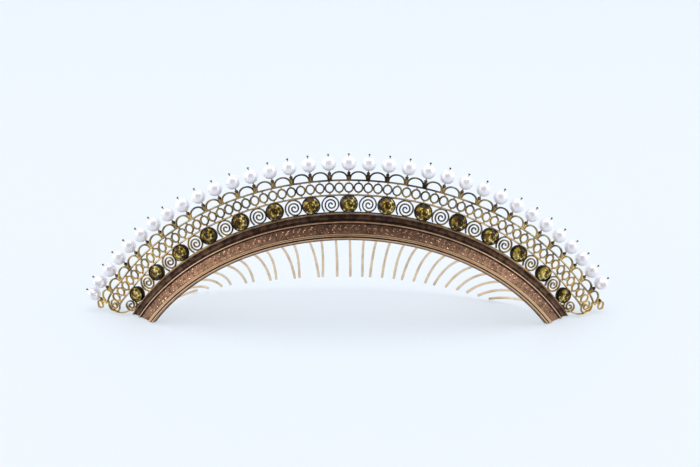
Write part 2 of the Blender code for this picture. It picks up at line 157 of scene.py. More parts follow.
def fed_node(tree, kind, *values, **settings):
    """A new node whose first inputs are fed with these values."""
    made = add_node(tree, kind, **settings)
    for socket, value in zip(made.inputs, values):
        feed(tree, socket, value)
    return made.outputs[0]


def calc(tree, operation, *values, clamp=False):
    return fed_node(tree, "ShaderNodeMath", *values, operation=operation, use_clamp=clamp)


def chain(tree, *nodes):
    """Joins the first output of each node to the first input of the next."""
    for node, following in zip(nodes, nodes[1:]):
        tree.links.new(node.outputs[0], following.inputs[0])


def add_socket(tree, label, kind="Float", in_out="INPUT"):
    return tree.interface.new_socket(label, in_out=in_out, socket_type="NodeSocket" + kind)


def new_tree(name, numbers):
    """A tree that takes geometry, these numbers and a material, and its two ends."""
    tree = bpy.data.node_groups.new(name, "GeometryNodeTree")
    add_socket(tree, "Geometry", "Geometry", "OUTPUT")
    add_socket(tree, "Geometry", "Geometry")
    for label, value in numbers.items():
        kind = "Int" if isinstance(value, int) else "Float"
        add_socket(tree, label, kind).default_value = value
    add_socket(tree, "Material", "Material")
    return tree, add_node(tree, "NodeGroupInput"), add_node(tree, "NodeGroupOutput")


# %% [markdown]
# ## Bending flat work to the arch
# A jeweller solders the gallery flat and then bends it, and so do the trees. Each row is laid out
# with X along it, Y the height above the band's edge and Z to the front, and one group then turns
# X into an angle round the arch. Its last part turns the free ends forward, clear of the table.

# %% The bending group
LAYING = ("Row Radius", "Start Radius", "Start Forward", "Splay")
bend = bpy.data.node_groups.new("Bend to the arch", "GeometryNodeTree")
add_socket(bend, "Flat", "Vector")
for label in LAYING:
    add_socket(bend, label)
add_socket(bend, "Bent", "Vector", "OUTPUT")
bend_in, bend_out = add_node(bend, "NodeGroupInput"), add_node(bend, "NodeGroupOutput")
flat = add_node(bend, "ShaderNodeSeparateXYZ")
chain(bend, bend_in, flat)
row_radius_in, start_radius, start_forward, splay = [bend_in.outputs[label] for label in LAYING]
angle = calc(bend, "DIVIDE", flat.outputs[0], row_radius_in)
cos_splay, sin_splay = calc(bend, "COSINE", splay), calc(bend, "SINE", splay)
reach = calc(bend, "MULTIPLY_ADD", flat.outputs[1], cos_splay, start_radius)
reach = calc(bend, "MULTIPLY_ADD", flat.outputs[2], sin_splay, reach)
ahead = calc(bend, "MULTIPLY_ADD", flat.outputs[2], cos_splay, start_forward)
ahead = calc(bend, "SUBTRACT", ahead, calc(bend, "MULTIPLY", flat.outputs[1], sin_splay))
sideways = calc(bend, "MULTIPLY", reach, calc(bend, "SINE", angle))
rise = calc(bend, "MULTIPLY", reach, calc(bend, "COSINE", angle))

MOST_TURN = 1.2
past = calc(bend, "SUBTRACT", calc(bend, "ABSOLUTE", angle), END_TURN_START)
past = calc(bend, "DIVIDE", past, END_TURN_FULL - END_TURN_START)
past = calc(bend, "MINIMUM", calc(bend, "MAXIMUM", past, 0.0), MOST_TURN)
eased = calc(bend, "MINIMUM", past, 1.0)
curve = calc(bend, "MULTIPLY_ADD", eased, -2.0, 3.0)
curve = calc(bend, "MULTIPLY", curve, calc(bend, "MULTIPLY", eased, eased))
turn = calc(bend, "ADD", curve, calc(bend, "SUBTRACT", past, eased))
inward = calc(bend, "MULTIPLY", calc(bend, "POWER", turn, 3.0), -END_INWARD)
inward = calc(bend, "MULTIPLY", inward, calc(bend, "SIGN", angle))

sideways = calc(bend, "ADD", calc(bend, "ADD", sideways, CENTRE_SIDE), inward)
depth = calc(bend, "MULTIPLY_ADD", rise, -sin(ARCH_LEAN), CENTRE_DEPTH)
depth = calc(bend, "MULTIPLY_ADD", ahead, -cos(ARCH_LEAN), depth)
depth = calc(bend, "MULTIPLY_ADD", turn, -END_FORWARD, depth)
height = calc(bend, "MULTIPLY_ADD", rise, cos(ARCH_LEAN), CENTRE_HEIGHT)
height = calc(bend, "MULTIPLY_ADD", ahead, -sin(ARCH_LEAN), height)
height = calc(bend, "MULTIPLY_ADD", turn, END_UP, height)
feed(bend, bend_out.inputs["Bent"],
     fed_node(bend, "ShaderNodeCombineXYZ", sideways, depth, height))
print("bending group:", len(bend.nodes), "nodes")

# %% [markdown]
# ## One tree for every row
# Rings, scrolls, collets, arches, pins and pearls all repeat at even angles, so one tree serves
# them all. It sets points along the row, puts a copy of the flat piece on each, shrinks the
# copies towards the ends where the maker did, and bends the whole row.

# %% The row tree
ROW_SIZES = {"Count": 2, "Spread": 1.0, "Height": 0.0, "Lift": 0.0, "Taper": 0.0, "Shift": 0.0,
             "Row Radius": 0.08, "Start Radius": ARC_RADIUS, "Start Forward": 0.0,
             "Splay": GALLERY_SPLAY, "Vary": 0.0, "Seed": 7}
row_tree, row_in, row_out = new_tree("Repeat along a row", ROW_SIZES)


def put_out(tree, group_in, group_out, *nodes):
    """The end of every tree: these nodes in a chain, then the finish."""
    finish = add_node(tree, "GeometryNodeSetMaterial")
    feed(tree, finish.inputs["Material"], group_in.outputs["Material"])
    chain(tree, *nodes, finish, group_out)


def bend_and_put_out(tree, group_in, group_out, *nodes):
    """The same, with copies made real and bent to the arch before the finish."""
    bender = add_node(tree, "GeometryNodeGroup", node_tree=bend)
    chain(tree, add_node(tree, "GeometryNodeInputPosition"), bender)
    for label in LAYING:
        feed(tree, bender.inputs[label], group_in.outputs[label])
    real = add_node(tree, "GeometryNodeRealizeInstances")
    moved = add_node(tree, "GeometryNodeSetPosition")
    feed(tree, moved.inputs["Position"], bender.outputs[0])
    put_out(tree, group_in, group_out, *nodes, real, moved)


row = row_in.outputs
last = calc(row_tree, "MAXIMUM", calc(row_tree, "SUBTRACT", row["Count"], 1.0), 1.0)
share = calc(row_tree, "DIVIDE", add_node(row_tree, "GeometryNodeInputIndex").outputs[0], last)
share = calc(row_tree, "MULTIPLY_ADD", share, 2.0, -1.0)
along = calc(row_tree, "MULTIPLY_ADD", share, row["Spread"], row["Shift"])
along = calc(row_tree, "MULTIPLY", along, row["Row Radius"])
spots = add_node(row_tree, "GeometryNodePoints")
feed(row_tree, spots.inputs["Count"], row["Count"])
feed(row_tree, spots.inputs["Position"],
     fed_node(row_tree, "ShaderNodeCombineXYZ", along, row["Height"], row["Lift"]))
shrink = calc(row_tree, "MULTIPLY", calc(row_tree, "MULTIPLY", share, share), row["Taper"])
chance = add_node(row_tree, "FunctionNodeRandomValue", data_type="FLOAT")
chance.inputs[2].default_value, chance.inputs[3].default_value = 0.0, 1.0
feed(row_tree, chance.inputs["Seed"], row["Seed"])
shrink = calc(row_tree, "MULTIPLY_ADD", chance.outputs[1], row["Vary"], shrink)
copies = add_node(row_tree, "GeometryNodeInstanceOnPoints")
feed(row_tree, copies.inputs["Instance"], row["Geometry"])
feed(row_tree, copies.inputs["Scale"], calc(row_tree, "SUBTRACT", 1.0, shrink))
bend_and_put_out(row_tree, row_in, row_out, spots, copies)
print("row tree:", len(row_tree.nodes), "nodes")

# %% [markdown]
# A second, shorter tree bends a piece that runs the whole way or stands once, such as a rail.

# %% The laying tree
LAY_SIZES = {"Row Radius": 0.08, "Start Radius": ARC_RADIUS, "Start Forward": 0.0,
             "Splay": GALLERY_SPLAY}
lay_tree, lay_in, lay_out = new_tree("Lay on the arch", LAY_SIZES)
bend_and_put_out(lay_tree, lay_in, lay_out, lay_in)
print("laying tree:", len(lay_tree.nodes), "nodes")


def place_new(name, data):
    """A new object in the scene that holds this data."""
    made = bpy.data.objects.new(name, data)
    bpy.context.scene.collection.objects.link(made)
    return made


def grow(name, data, tree, finish, **sizes):
    """Runs a tree over one flat piece and keeps the result as a plain mesh object."""
    seed = place_new(name + "_flat", data)
    modifier = seed.modifiers.new("grow", "NODES")
    modifier.node_group = tree
    wanted = {label.replace("_", " ").title(): value for label, value in sizes.items()}
    wanted["Material"] = finish
    for item in tree.interface.items_tree:
        if item.in_out == "INPUT" and item.name in wanted:
            modifier[item.identifier] = wanted.pop(item.name)
    assert not wanted, wanted
    bpy.context.view_layer.update()
    graph = bpy.context.evaluated_depsgraph_get()
    mesh = bpy.data.meshes.new_from_object(seed.evaluated_get(graph))
    seed.modifiers.remove(modifier)
    bpy.data.objects.remove(seed)
    return place_new(name, mesh)


def settle(piece, slot, *nodes):
    """Fixes a finished piece to the tiara and hides the plain solids that it stands for."""
    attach(piece, "root")
    if nodes:
        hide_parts(*nodes)
    print(piece.name, len(piece.data.polygons), "faces")


def lay_row(name, data, finish, places, *nodes, slot="gilt_wire"):
    """A row of copies of one flat piece, finished and settled."""
    settle(grow(name, data, row_tree, finish, **places), slot, *nodes)


# %% [markdown]
# ## Building meshes
# Wire, strip and tube are all rows of points joined by a skin, so three helpers serve them. They
# also keep a darkness value at each point, and the finishes darken the metal by it: partly
# tarnish, partly painted shade in the hollows and on the sides of the wires.


# %% Mesh helpers
def open_mesh():
    """An empty mesh to build in, and its layer of darkness for tarnish and painted shade."""
    work = bmesh.new()
    return work, work.verts.layers.float.new("tarnish_and_shade")


def skin(work, rows, closed=False):
    """Joins each row of points to the next one, and the last to the first if closed."""
    for first, second in zip(rows, rows[1:] + (rows[:1] if closed else [])):
        count = len(first)
        for n in range(count):
            m = (n + 1) % count
            work.faces.new((first[n], first[m], second[m], second[n]))


def keep_mesh(work, name, smooth=True, sharp_from=radians(50.0)):
    """Turns the faces outwards and keeps the work as a mesh, smooth or in flat facets."""
    bmesh.ops.recalc_face_normals(work, faces=work.faces)
    mesh = bpy.data.meshes.new(name)
    work.to_mesh(mesh)
    work.free()
    if smooth:
        mesh.shade_smooth()
        mesh.set_sharp_from_angle(angle=sharp_from)
    return mesh


# %% [markdown]
# ## Flat wire
# All the wirework is drawn wire, flattened, and bent on edge. One helper sweeps a rounded
# rectangle along a flat line, thicker where solder ran. Only its front face is left bright; every
# other point is marked dark, painted shade on the wire's sides with some tarnish.

# %% The wire helper
SQUARENESS = 0.35
BRIGHT_FRONT_ABOVE = 0.6


def wire_mesh(name, lines, width, deep, sides=8, closed=False, swell=None):
    """One mesh from flat lines of (x, y) points, with wires of this width and depth."""
    work, tarnish_and_shade = open_mesh()
    for line in lines:
        count = len(line)
        rows = []
        for k, point in enumerate(line):
            before = Vector(line[k - 1]) if closed or k else Vector(line[0])
            after = Vector(line[(k + 1) % count]) if closed or k < count - 1 else Vector(line[k])
            ahead_2d = (after - before).normalized()
            side = Vector((-ahead_2d.y, ahead_2d.x, 0.0))
            fat = swell(k / (count - 1)) if swell else 1.0
            row = []
            for n in range(sides):
                turn = tau * (n + 0.5) / sides
                squared = 1.0 / max(abs(cos(turn)), abs(sin(turn))) ** SQUARENESS
                x, z = cos(turn) * squared * width / 2 * fat, sin(turn) * squared
                vert = work.verts.new(Vector((point[0], point[1], z * deep / 2)) + side * x)
                # points off the front face are marked dark: painted shade on the wire's sides,
                # with some tarnish
                vert[tarnish_and_shade] = 0.0 if z > BRIGHT_FRONT_ABOVE else 1.0
                row.append(vert)
            rows.append(row)
        skin(work, rows, closed)
        if not closed:
            work.faces.new(rows[0][::-1])
            work.faces.new(rows[-1])
    return keep_mesh(work, name)


def spiral(radius, end, turns, hand, start, steps=26):
    """A flat spiral from its tail inwards."""
    line = []
    for k in range(steps + 1):
        share = k / steps
        swept = start + hand * turns * tau * share
        arm = radius + (end - radius) * share
        line.append((arm * cos(swept), arm * sin(swept)))
    return line


# %% [markdown]
# ## Finishes
# The metal is fire-gilt brass two centuries old: bright on its open faces, brown and nearly
# black in every hollow, partly from tarnish and partly as painted shade. One shader group gives
# the wear and the painted shade for every metal here. It blends a bright and a dark colour by
# each point's darkness value, soft patches of wear and a painted shade that grows towards the
# middle of the arch, and puts out the colour, the roughness and a height for the bump.


# %% Paint helpers
def new_paint(name, values):
    """A material, its tree and its shader, with these values typed in."""
    paint = bpy.data.materials.new(name)
    paint.use_nodes = True
    shader = paint.node_tree.nodes["Principled BSDF"]
    for label, value in values.items():
        shader.inputs[label].default_value = value
    return paint, paint.node_tree, shader


def noise_on(tree, scale, detail=2.0):
    """Soft noise that stays fixed to the piece."""
    noise = add_node(tree, "ShaderNodeTexNoise")
    tree.links.new(add_node(tree, "ShaderNodeTexCoord").outputs["Object"], noise.inputs["Vector"])
    feed(tree, noise.inputs["Scale"], scale)
    noise.inputs["Detail"].default_value = detail
    return noise.outputs["Fac"]


# %% The wear and painted shade group
WEIGHTS = ("Tarnish And Shade Weight", "Patch Weight", "Middle Shade Weight", "Polish", "Patch Scale")
GRAIN_SCALE = 3200.0
PATCH_FROM, PATCH_GAIN = 0.42, 4.0
MIDDLE_SHADE_REACH = 70.0 * MM
DULL_ROUGHNESS, GRAIN_ROUGHNESS = 0.22, 0.10
wear_and_shade = bpy.data.node_groups.new("Old gilding", "ShaderNodeTree")
for label in ("Bright", "Dark"):
    add_socket(wear_and_shade, label, "Color")
for label in WEIGHTS:
    add_socket(wear_and_shade, label)
for label, kind in (("Color", "Color"), ("Roughness", "Float"), ("Height", "Float")):
    add_socket(wear_and_shade, label, kind, "OUTPUT")
given = add_node(wear_and_shade, "NodeGroupInput").outputs
patches = noise_on(wear_and_shade, given["Patch Scale"], 3.0)
grain = noise_on(wear_and_shade, GRAIN_SCALE)
# tarnish and painted shade: each point's darkness value darkens the metal by its weight
tarnish_and_shade_in = add_node(wear_and_shade, "ShaderNodeAttribute", attribute_name="tarnish_and_shade").outputs["Fac"]
wear_and_shade_share = calc(wear_and_shade, "MULTIPLY", tarnish_and_shade_in, given["Tarnish And Shade Weight"])
patch = calc(wear_and_shade, "SUBTRACT", patches, PATCH_FROM, clamp=True)
patch = calc(wear_and_shade, "MULTIPLY", calc(wear_and_shade, "MULTIPLY", patch, PATCH_GAIN), given["Patch Weight"])
wear_and_shade_share = calc(wear_and_shade, "ADD", wear_and_shade_share, patch)
# painted shade: the metal is darkened towards the middle of the arch
place_xyz = add_node(wear_and_shade, "ShaderNodeSeparateXYZ")
feed(wear_and_shade, place_xyz.inputs[0], add_node(wear_and_shade, "ShaderNodeTexCoord").outputs["Object"])
middle = calc(wear_and_shade, "DIVIDE", calc(wear_and_shade, "ABSOLUTE", place_xyz.outputs[0]), MIDDLE_SHADE_REACH)
middle = calc(wear_and_shade, "SUBTRACT", 1.0, middle, clamp=True)
wear_and_shade_share = calc(wear_and_shade, "MULTIPLY_ADD", middle, given["Middle Shade Weight"], wear_and_shade_share)
wear_and_shade_share = calc(wear_and_shade, "MINIMUM", wear_and_shade_share, 1.0)
rough = calc(wear_and_shade, "MULTIPLY_ADD", wear_and_shade_share, DULL_ROUGHNESS, given["Polish"])
rough = calc(wear_and_shade, "MULTIPLY_ADD", grain, GRAIN_ROUGHNESS, rough)
blend = add_node(wear_and_shade, "ShaderNodeMix", data_type="RGBA")
wear_and_shade_out = add_node(wear_and_shade, "NodeGroupOutput").inputs
for socket, value in ((blend.inputs["Factor"], wear_and_shade_share), (blend.inputs[6], given["Bright"]),
                      (blend.inputs[7], given["Dark"]), (wear_and_shade_out["Color"], blend.outputs[2]),
                      (wear_and_shade_out["Roughness"], rough), (wear_and_shade_out["Height"], grain)):
    feed(wear_and_shade, socket, value)
print("wear group:", len(wear_and_shade.nodes), "nodes")

# %% [markdown]
# The metals differ only in their two colours and in how much each kind of darkening counts:
# tarnish with painted shade, patches of wear, and painted shade towards the middle. So they
# stand in one table.

# %% Metals from the wear and painted shade group
METALS = (  # name, bright colour, dark colour, then the weights in the group's order
    ("gilt_wire_finish", (1.00, 0.74, 0.32), (0.10, 0.072, 0.045), 0.40, 0.45, 0.70, 0.24, 260.0),
    ("rail_finish", (1.00, 0.74, 0.40), (0.20, 0.135, 0.085), 0.40, 0.40, 0.45, 0.24, 260.0),
    # a darker copy of the wire gilt: painted shade for the arches, fillets and the base and outer
    # rails
    ("arch_finish_shaded", (0.92, 0.68, 0.30), (0.055, 0.038, 0.024), 0.40, 0.60, 0.75, 0.26, 260.0),
    ("knot_finish", (0.24, 0.16, 0.07), (0.022, 0.015, 0.009), 0.80, 0.50, 0.30, 0.34, 260.0),
    ("stamping_finish", (0.54, 0.30, 0.18), (0.026, 0.016, 0.012), 0.92, 0.22, 0.10, 0.26, 520.0),
    ("frieze_finish", (0.95, 0.56, 0.40), (0.13, 0.055, 0.04), 0.40, 1.60, 0.15, 0.24, 1300.0),
    ("polished_line_finish", (1.00, 0.74, 0.48), (0.22, 0.11, 0.065),
     0.50, 0.10, 0.62, 0.20, 260.0),
    ("comb_wire_finish", (0.86, 0.68, 0.48), (0.50, 0.36, 0.24), 0.30, 0.40, 0.00, 0.30, 260.0),
)
BUMP_STRENGTH, BUMP_HEIGHT = 0.3, 0.02 * MM


def gilt(name, bright, dark, *weights):
    """One metal of the table."""
    paint, tree, shader = new_paint(name, {"Metallic": 1.0})
    group = add_node(tree, "ShaderNodeGroup", node_tree=wear_and_shade)
    group.inputs["Bright"].default_value = (*bright, 1.0)
    group.inputs["Dark"].default_value = (*dark, 1.0)
    for label, value in zip(WEIGHTS, weights):
        group.inputs[label].default_value = value
    relief = add_node(tree, "ShaderNodeBump")
    for socket, value in ((relief.inputs["Strength"], BUMP_STRENGTH),
                          (relief.inputs["Distance"], BUMP_HEIGHT),
                          (relief.inputs["Height"], group.outputs["Height"]),
                          (shader.inputs["Normal"], relief.outputs[0]),
                          (shader.inputs["Base Color"], group.outputs["Color"]),
                          (shader.inputs["Roughness"], group.outputs["Roughness"])):
        feed(tree, socket, value)
    return paint


(wire_gilt, rail_gilt, shaded_arch_gilt, knot_gilt,
 band_gilt, frieze_gilt, line_gilt, comb_gilt) = metals = [gilt(*row) for row in METALS]
print("metals:", [metal.name for metal in metals])

# %% [markdown]
# ## The moulded band
# The band is a stamped strip bent to the arch: a thin outer lip, a deep dark cove, a ridge, a
# flat frieze, two polished lines and a thin edge. The dark of the lip and the cove is painted
# shade and reflection with some tarnish, set line by line; the ridge and the polished lines stay
# bright.
# A section swept round the arch gives it, and each line of the section runs on to the floor, as if
# the ends had been filed off level.

# %% The band's section and sweep
BAND_LINES = (  # share of the width, share of the relief, darkness of tarnish and painted shade
    (0.000, 0.00, 1.0), (0.000, 0.88, 0.8), (0.012, 0.98, 0.5), (0.030, 1.00, 0.3),
    (0.050, 0.94, 0.7), (0.075, 0.82, 1.0), (0.095, 0.74, 0.9), (0.110, 0.715, 0.75),
    (0.125, 0.67, 1.0), (0.150, 0.64, 0.7), (0.165, 0.605, 0.9), (0.190, 0.595, 0.6),
    (0.205, 0.565, 0.9), (0.235, 0.575, 0.9), (0.250, 0.56, 1.0), (0.275, 0.62, 0.95),
    (0.295, 0.72, 1.0), (0.315, 0.88, 0.8), (0.335, 0.97, 0.35), (0.350, 1.00, 0.0),
    (0.368, 0.97, 0.35), (0.385, 0.82, 1.0), (0.400, 0.67, 1.0), (0.420, 0.62, 0.55),
    (0.440, 0.62, 0.55), (0.600, 0.62, 0.50), (0.755, 0.62, 0.60), (0.775, 0.66, 1.0),
    (0.785, 0.88, 0.2), (0.808, 0.96, 0.0), (0.832, 0.88, 0.1), (0.840, 0.76, 0.9),
    (0.848, 0.88, 0.1), (0.870, 0.95, 0.0), (0.890, 0.86, 0.2), (0.898, 0.66, 1.0),
    (0.918, 0.64, 1.0), (0.935, 0.82, 0.4), (0.955, 0.88, 0.05), (0.975, 0.80, 0.1),
    (1.000, 0.40, 0.6), (1.000, 0.00, 0.9),
)


def band_place(angle_at, across, depth_at):
    radius, forward = band_section(across, depth_at)
    return Vector((CENTRE_SIDE + radius * sin(angle_at),
                   CENTRE_DEPTH - radius * cos(angle_at) * sin(ARCH_LEAN)
                   - forward * cos(ARCH_LEAN),
                   CENTRE_HEIGHT + radius * cos(angle_at) * cos(ARCH_LEAN)
                   - forward * sin(ARCH_LEAN)))


def floor_angle(across, depth_at):
    radius, forward = band_section(across, depth_at)
    drop = forward * sin(ARCH_LEAN) - CENTRE_HEIGHT
    return acos(drop / (radius * cos(ARCH_LEAN)))


def sweep_round(name, section_line, angle_of, steps, sharp_from):
    """A section of (across, depth, darkness for tarnish and painted shade) swept round the arch,
    each line as far as it goes.
    """
    work, tarnish_and_shade = open_mesh()
    rows = []
    for k in range(steps + 1):
        row = []
        for across, depth_at, dark_share in section_line:
            angle_at = (2.0 * k / steps - 1.0) * angle_of(across, depth_at)
            vert = work.verts.new(band_place(angle_at, across, depth_at))
            vert[tarnish_and_shade] = dark_share
            row.append(vert)
        rows.append(row)
    skin(work, rows)
    work.faces.new(rows[0])
    work.faces.new(rows[-1][::-1])
    return keep_mesh(work, name, sharp_from=sharp_from)


POLISHED = ((0.350, 0.368), (0.775, 0.890), (0.935, 0.975))  # shares of the width, from and to
band_section_line = [(wide * BAND_WIDTH, deep * BAND_RELIEF, dark_share)
                     for wide, deep, dark_share in BAND_LINES]
band = place_new("moulded_band", sweep_round("moulded_band", band_section_line, floor_angle,
                                             steps=220, sharp_from=radians(55.0)))
for metal in (band_gilt, line_gilt):
    band.data.materials.append(metal)
bright_rows = [n for n, line in enumerate(BAND_LINES)
               if any(low <= line[0] <= high for low, high in POLISHED)]
for face in band.data.polygons:
    if len(face.vertices) == 4 and all(v % len(BAND_LINES) in bright_rows for v in face.vertices):
        face.material_index = 1
settle(band, "gilt_stamping", "comb_band")

# %% [markdown]
# ## The frieze
# A die stamped a running leaf scroll into the frieze, each repeat a small volute with a leaf on
# either side. At this size it is a few fine ridges, so the repeat is made of thin wires pressed
# into the band's face, and the row tree runs it round the arch.

# %% The running scroll
FRIEZE_REPEATS = 84
FRIEZE_SPREAD = radians(54.3)
FRIEZE_ACROSS, FRIEZE_HEIGHT = 0.600 * BAND_WIDTH, -0.595 * BAND_WIDTH
FRIEZE_LIFT = 0.62 * BAND_RELIEF
LEAF_STEP, LEAF_BEND = 0.22 * MM, 0.8
volute_line = spiral(0.58 * MM, 0.12 * MM, 1.2, -1.0, radians(215.0), 10)
volute_line = [(0.9 * x, y) for x, y in volute_line]


def leaf(x, y, rise):
    """A short bent ridge."""
    return [(x + LEAF_STEP * k, y + rise * sin(k * LEAF_BEND)) for k in range(4)]


def leaf_swell(share):
    return 0.5 + 1.1 * sin(pi * share)


leaf_lines = [leaf(0.10 * MM, 0.62 * MM, 0.42 * MM), leaf(-0.35 * MM, -0.58 * MM, -0.45 * MM)]
volutes = wire_mesh("volute", [volute_line], 0.15 * MM, 0.20 * MM, sides=5)
leaves = wire_mesh("leaves", leaf_lines, 0.17 * MM, 0.22 * MM, sides=5, swell=leaf_swell)
FRIEZE = dict(count=FRIEZE_REPEATS, spread=FRIEZE_SPREAD, height=FRIEZE_HEIGHT,
              lift=FRIEZE_LIFT, splay=BAND_SPLAY,
              row_radius=ARC_RADIUS - FRIEZE_ACROSS * cos(BAND_SPLAY))
lay_row("frieze_scrolls", volutes, frieze_gilt, FRIEZE, slot="gilt_stamping")
lay_row("frieze_leaves", leaves, frieze_gilt, FRIEZE, slot="gilt_stamping")

# %% [markdown]
# Two small rivets show near the left end, where the comb's bar is fastened through the band.

# %% Rivets
RIVET_RADIUS, RIVET_FLATNESS = 0.46 * MM, 0.7
RIVET_ACROSS, RIVET_LIFT = 5.6 * MM, 0.66 * BAND_RELIEF
RIVET_PLACE, RIVET_HALF_GAP = radians(-48.9), radians(0.56)
work, _ = open_mesh()
bmesh.ops.create_uvsphere(work, u_segments=12, v_segments=6, radius=RIVET_RADIUS,
                          matrix=Matrix.Diagonal((1.0, 1.0, RIVET_FLATNESS, 1.0)))
RIVETS = dict(count=2, spread=RIVET_HALF_GAP, shift=RIVET_PLACE, height=-RIVET_ACROSS,
              lift=RIVET_LIFT, splay=BAND_SPLAY,
              row_radius=ARC_RADIUS - RIVET_ACROSS * cos(BAND_SPLAY))
lay_row("rivets", keep_mesh(work, "rivet"), line_gilt, RIVETS, slot="gilt_stamping")

# %% [markdown]
# ## Rails
# Three plain rails part the rows. Each is one long straight wire until it is bent.

# %% Rails
RING_STEP = 2 * RING_SPREAD / (RING_COUNT - 1)
RAILS = (  # name, height, half of its angle, width, finish, the solids that the rows replace
    ("base_rail", BASE_RAIL, STONE_SPREAD + radians(1.4), WIRE_WIDTH, shaded_arch_gilt, ["gallery"]),
    ("inner_rail", INNER_RAIL, RING_SPREAD + 0.5 * RING_STEP, 0.56 * MM, rail_gilt, []),
    ("outer_rail", OUTER_RAIL, radians(62.8), 0.54 * MM, shaded_arch_gilt, []),
)


def rail_line(height_at, spread, steps=150):
    half = spread * row_radius(height_at)
    return [(half * (2.0 * k / steps - 1.0), height_at) for k in range(steps + 1)]


for name, height_at, spread, width, finish, replaced in RAILS:
    rail = wire_mesh(name, [rail_line(height_at, spread)], width, WIRE_DEPTH)
    settle(grow(name, rail, lay_tree, finish, row_radius=row_radius(height_at)),
           "gilt_wire", *replaced)

# %% [markdown]
# ## The row of rings
# Each ring is a round loop that touches its neighbours. Small points of solder tie it to the
# rail above and to the rail below, which leaves a three-cornered gap between every two rings.

# %% Rings and their ties
RING_GAP = 0.20 * MM
RING_HALF, RING_TALL = RING_STEP * row_radius(RING_CENTRE) / 2 - RING_GAP, 1.29 * MM
HALF_ROW = (OUTER_RAIL - INNER_RAIL) / 2
ring_line = [(RING_HALF * cos(tau * k / 24), RING_TALL * sin(tau * k / 24))
             for k in range(24)]
RINGS = dict(count=RING_COUNT, spread=RING_SPREAD, height=RING_CENTRE,
             row_radius=row_radius(RING_CENTRE))
ring = wire_mesh("ring", [ring_line], 0.50 * MM, 0.9 * WIRE_DEPTH, sides=6, closed=True)
lay_row("ring_row", ring, wire_gilt, RINGS)


def swell_by(*widths):
    """Gives a wire these relative widths, one at each of its points."""
    return lambda share: widths[round(share * (len(widths) - 1))]


def upright(*heights_mm):
    """A short wire straight up, with a point at each of these heights."""
    return [(0.0, height_mm * MM) for height_mm in heights_mm]


tie_up = [(0.0, RING_TALL - 0.05 * MM), (0.0, RING_TALL + 0.35 * MM), (0.0, HALF_ROW)]
tie_down = [(x, -y) for x, y in tie_up]
ties = wire_mesh("ties", [tie_up, tie_down], 0.60 * MM, 0.7 * WIRE_DEPTH, sides=6,
                 swell=swell_by(1.5, 0.9, 1.1))
lay_row("ring_ties", ties, rail_gilt, RINGS)

# %% [markdown]
# ## Scrolls
# Between two stones stands one scroll of thin wire, wound inwards nearly three turns. All are
# wound the same way, with the tail at the lower left, soldered to the base rail.

# %% Scrolls between the stones
SCROLL_STEP = 2 * STONE_SPREAD / (STONE_COUNT - 1)
SCROLL_SIDE, SCROLL_DROP = 0.30 * MM, 0.20 * MM
scroll_line = [(x + SCROLL_SIDE, y - SCROLL_DROP)
               for x, y in spiral(2.80 * MM, 0.27 * MM, 2.62, -1.0, radians(223.0), 48)]
SCROLLS = dict(count=STONE_COUNT - 1, spread=STONE_SPREAD - SCROLL_STEP / 2, height=ROW_CENTRE,
               row_radius=row_radius(ROW_CENTRE))
scroll = wire_mesh("scroll", [scroll_line], WIRE_WIDTH, 0.95 * WIRE_DEPTH, sides=6)
lay_row("scroll_row", scroll, wire_gilt, SCROLLS)
foot_line = [(SCROLL_SIDE, y) for _, y in upright(-2.10, -2.30, -2.55)]
foot = wire_mesh("scroll_foot", [foot_line], 1.5 * MM, 0.7 * WIRE_DEPTH, sides=6)
lay_row("scroll_feet", foot, knot_gilt, SCROLLS)

# %% [markdown]
# ## Arches, knots and pins
# The outermost row is a run of half-round arches. Solder fills their feet, and a dark knot sits
# at the foot of each pin, between two arches.

# %% Arches
ARCH_HALF, ARCH_RISE = 2.36 * MM, ARCH_HEIGHT - 0.36 * MM
arch_line = [(-ARCH_HALF * cos(pi * k / 16),
              0.1 * MM + ARCH_RISE * sin(pi * k / 16) ** 0.80) for k in range(17)]
arch = wire_mesh("arch", [arch_line], 0.52 * MM, WIRE_DEPTH, sides=6)
ARCHES = dict(count=ARCH_COUNT, spread=ARCH_SPREAD, height=OUTER_RAIL,
              row_radius=row_radius(OUTER_RAIL))
lay_row("arches", arch, shaded_arch_gilt, ARCHES)

# %% Fillets and knots
JUNCTIONS = dict(ARCHES, count=ARCH_COUNT + 1, spread=ARCH_SPREAD + ARCH_STEP / 2)
fillet = wire_mesh("fillet", [upright(0.0, 0.5, 0.95, 1.30, 1.52, 1.70)], 1.0 * MM,
                   0.7 * WIRE_DEPTH, swell=swell_by(0.80, 0.75, 0.95, 1.30, 1.45, 0.80))
lay_row("fillets", fillet, shaded_arch_gilt, JUNCTIONS)
knot = wire_mesh("knot", [upright(1.50, 1.70, 2.15, 2.45)], 0.75 * MM, 1.15 * WIRE_DEPTH,
                 swell=swell_by(0.7, 1.1, 1.4, 0.8))
lay_row("knots", knot, knot_gilt, JUNCTIONS)

# %% [markdown]
# Each pearl is bored through and sits on a pin. The pin's end is melted to a small bead that
# stops the pearl from coming off, and it shows as a dark dot above each one.

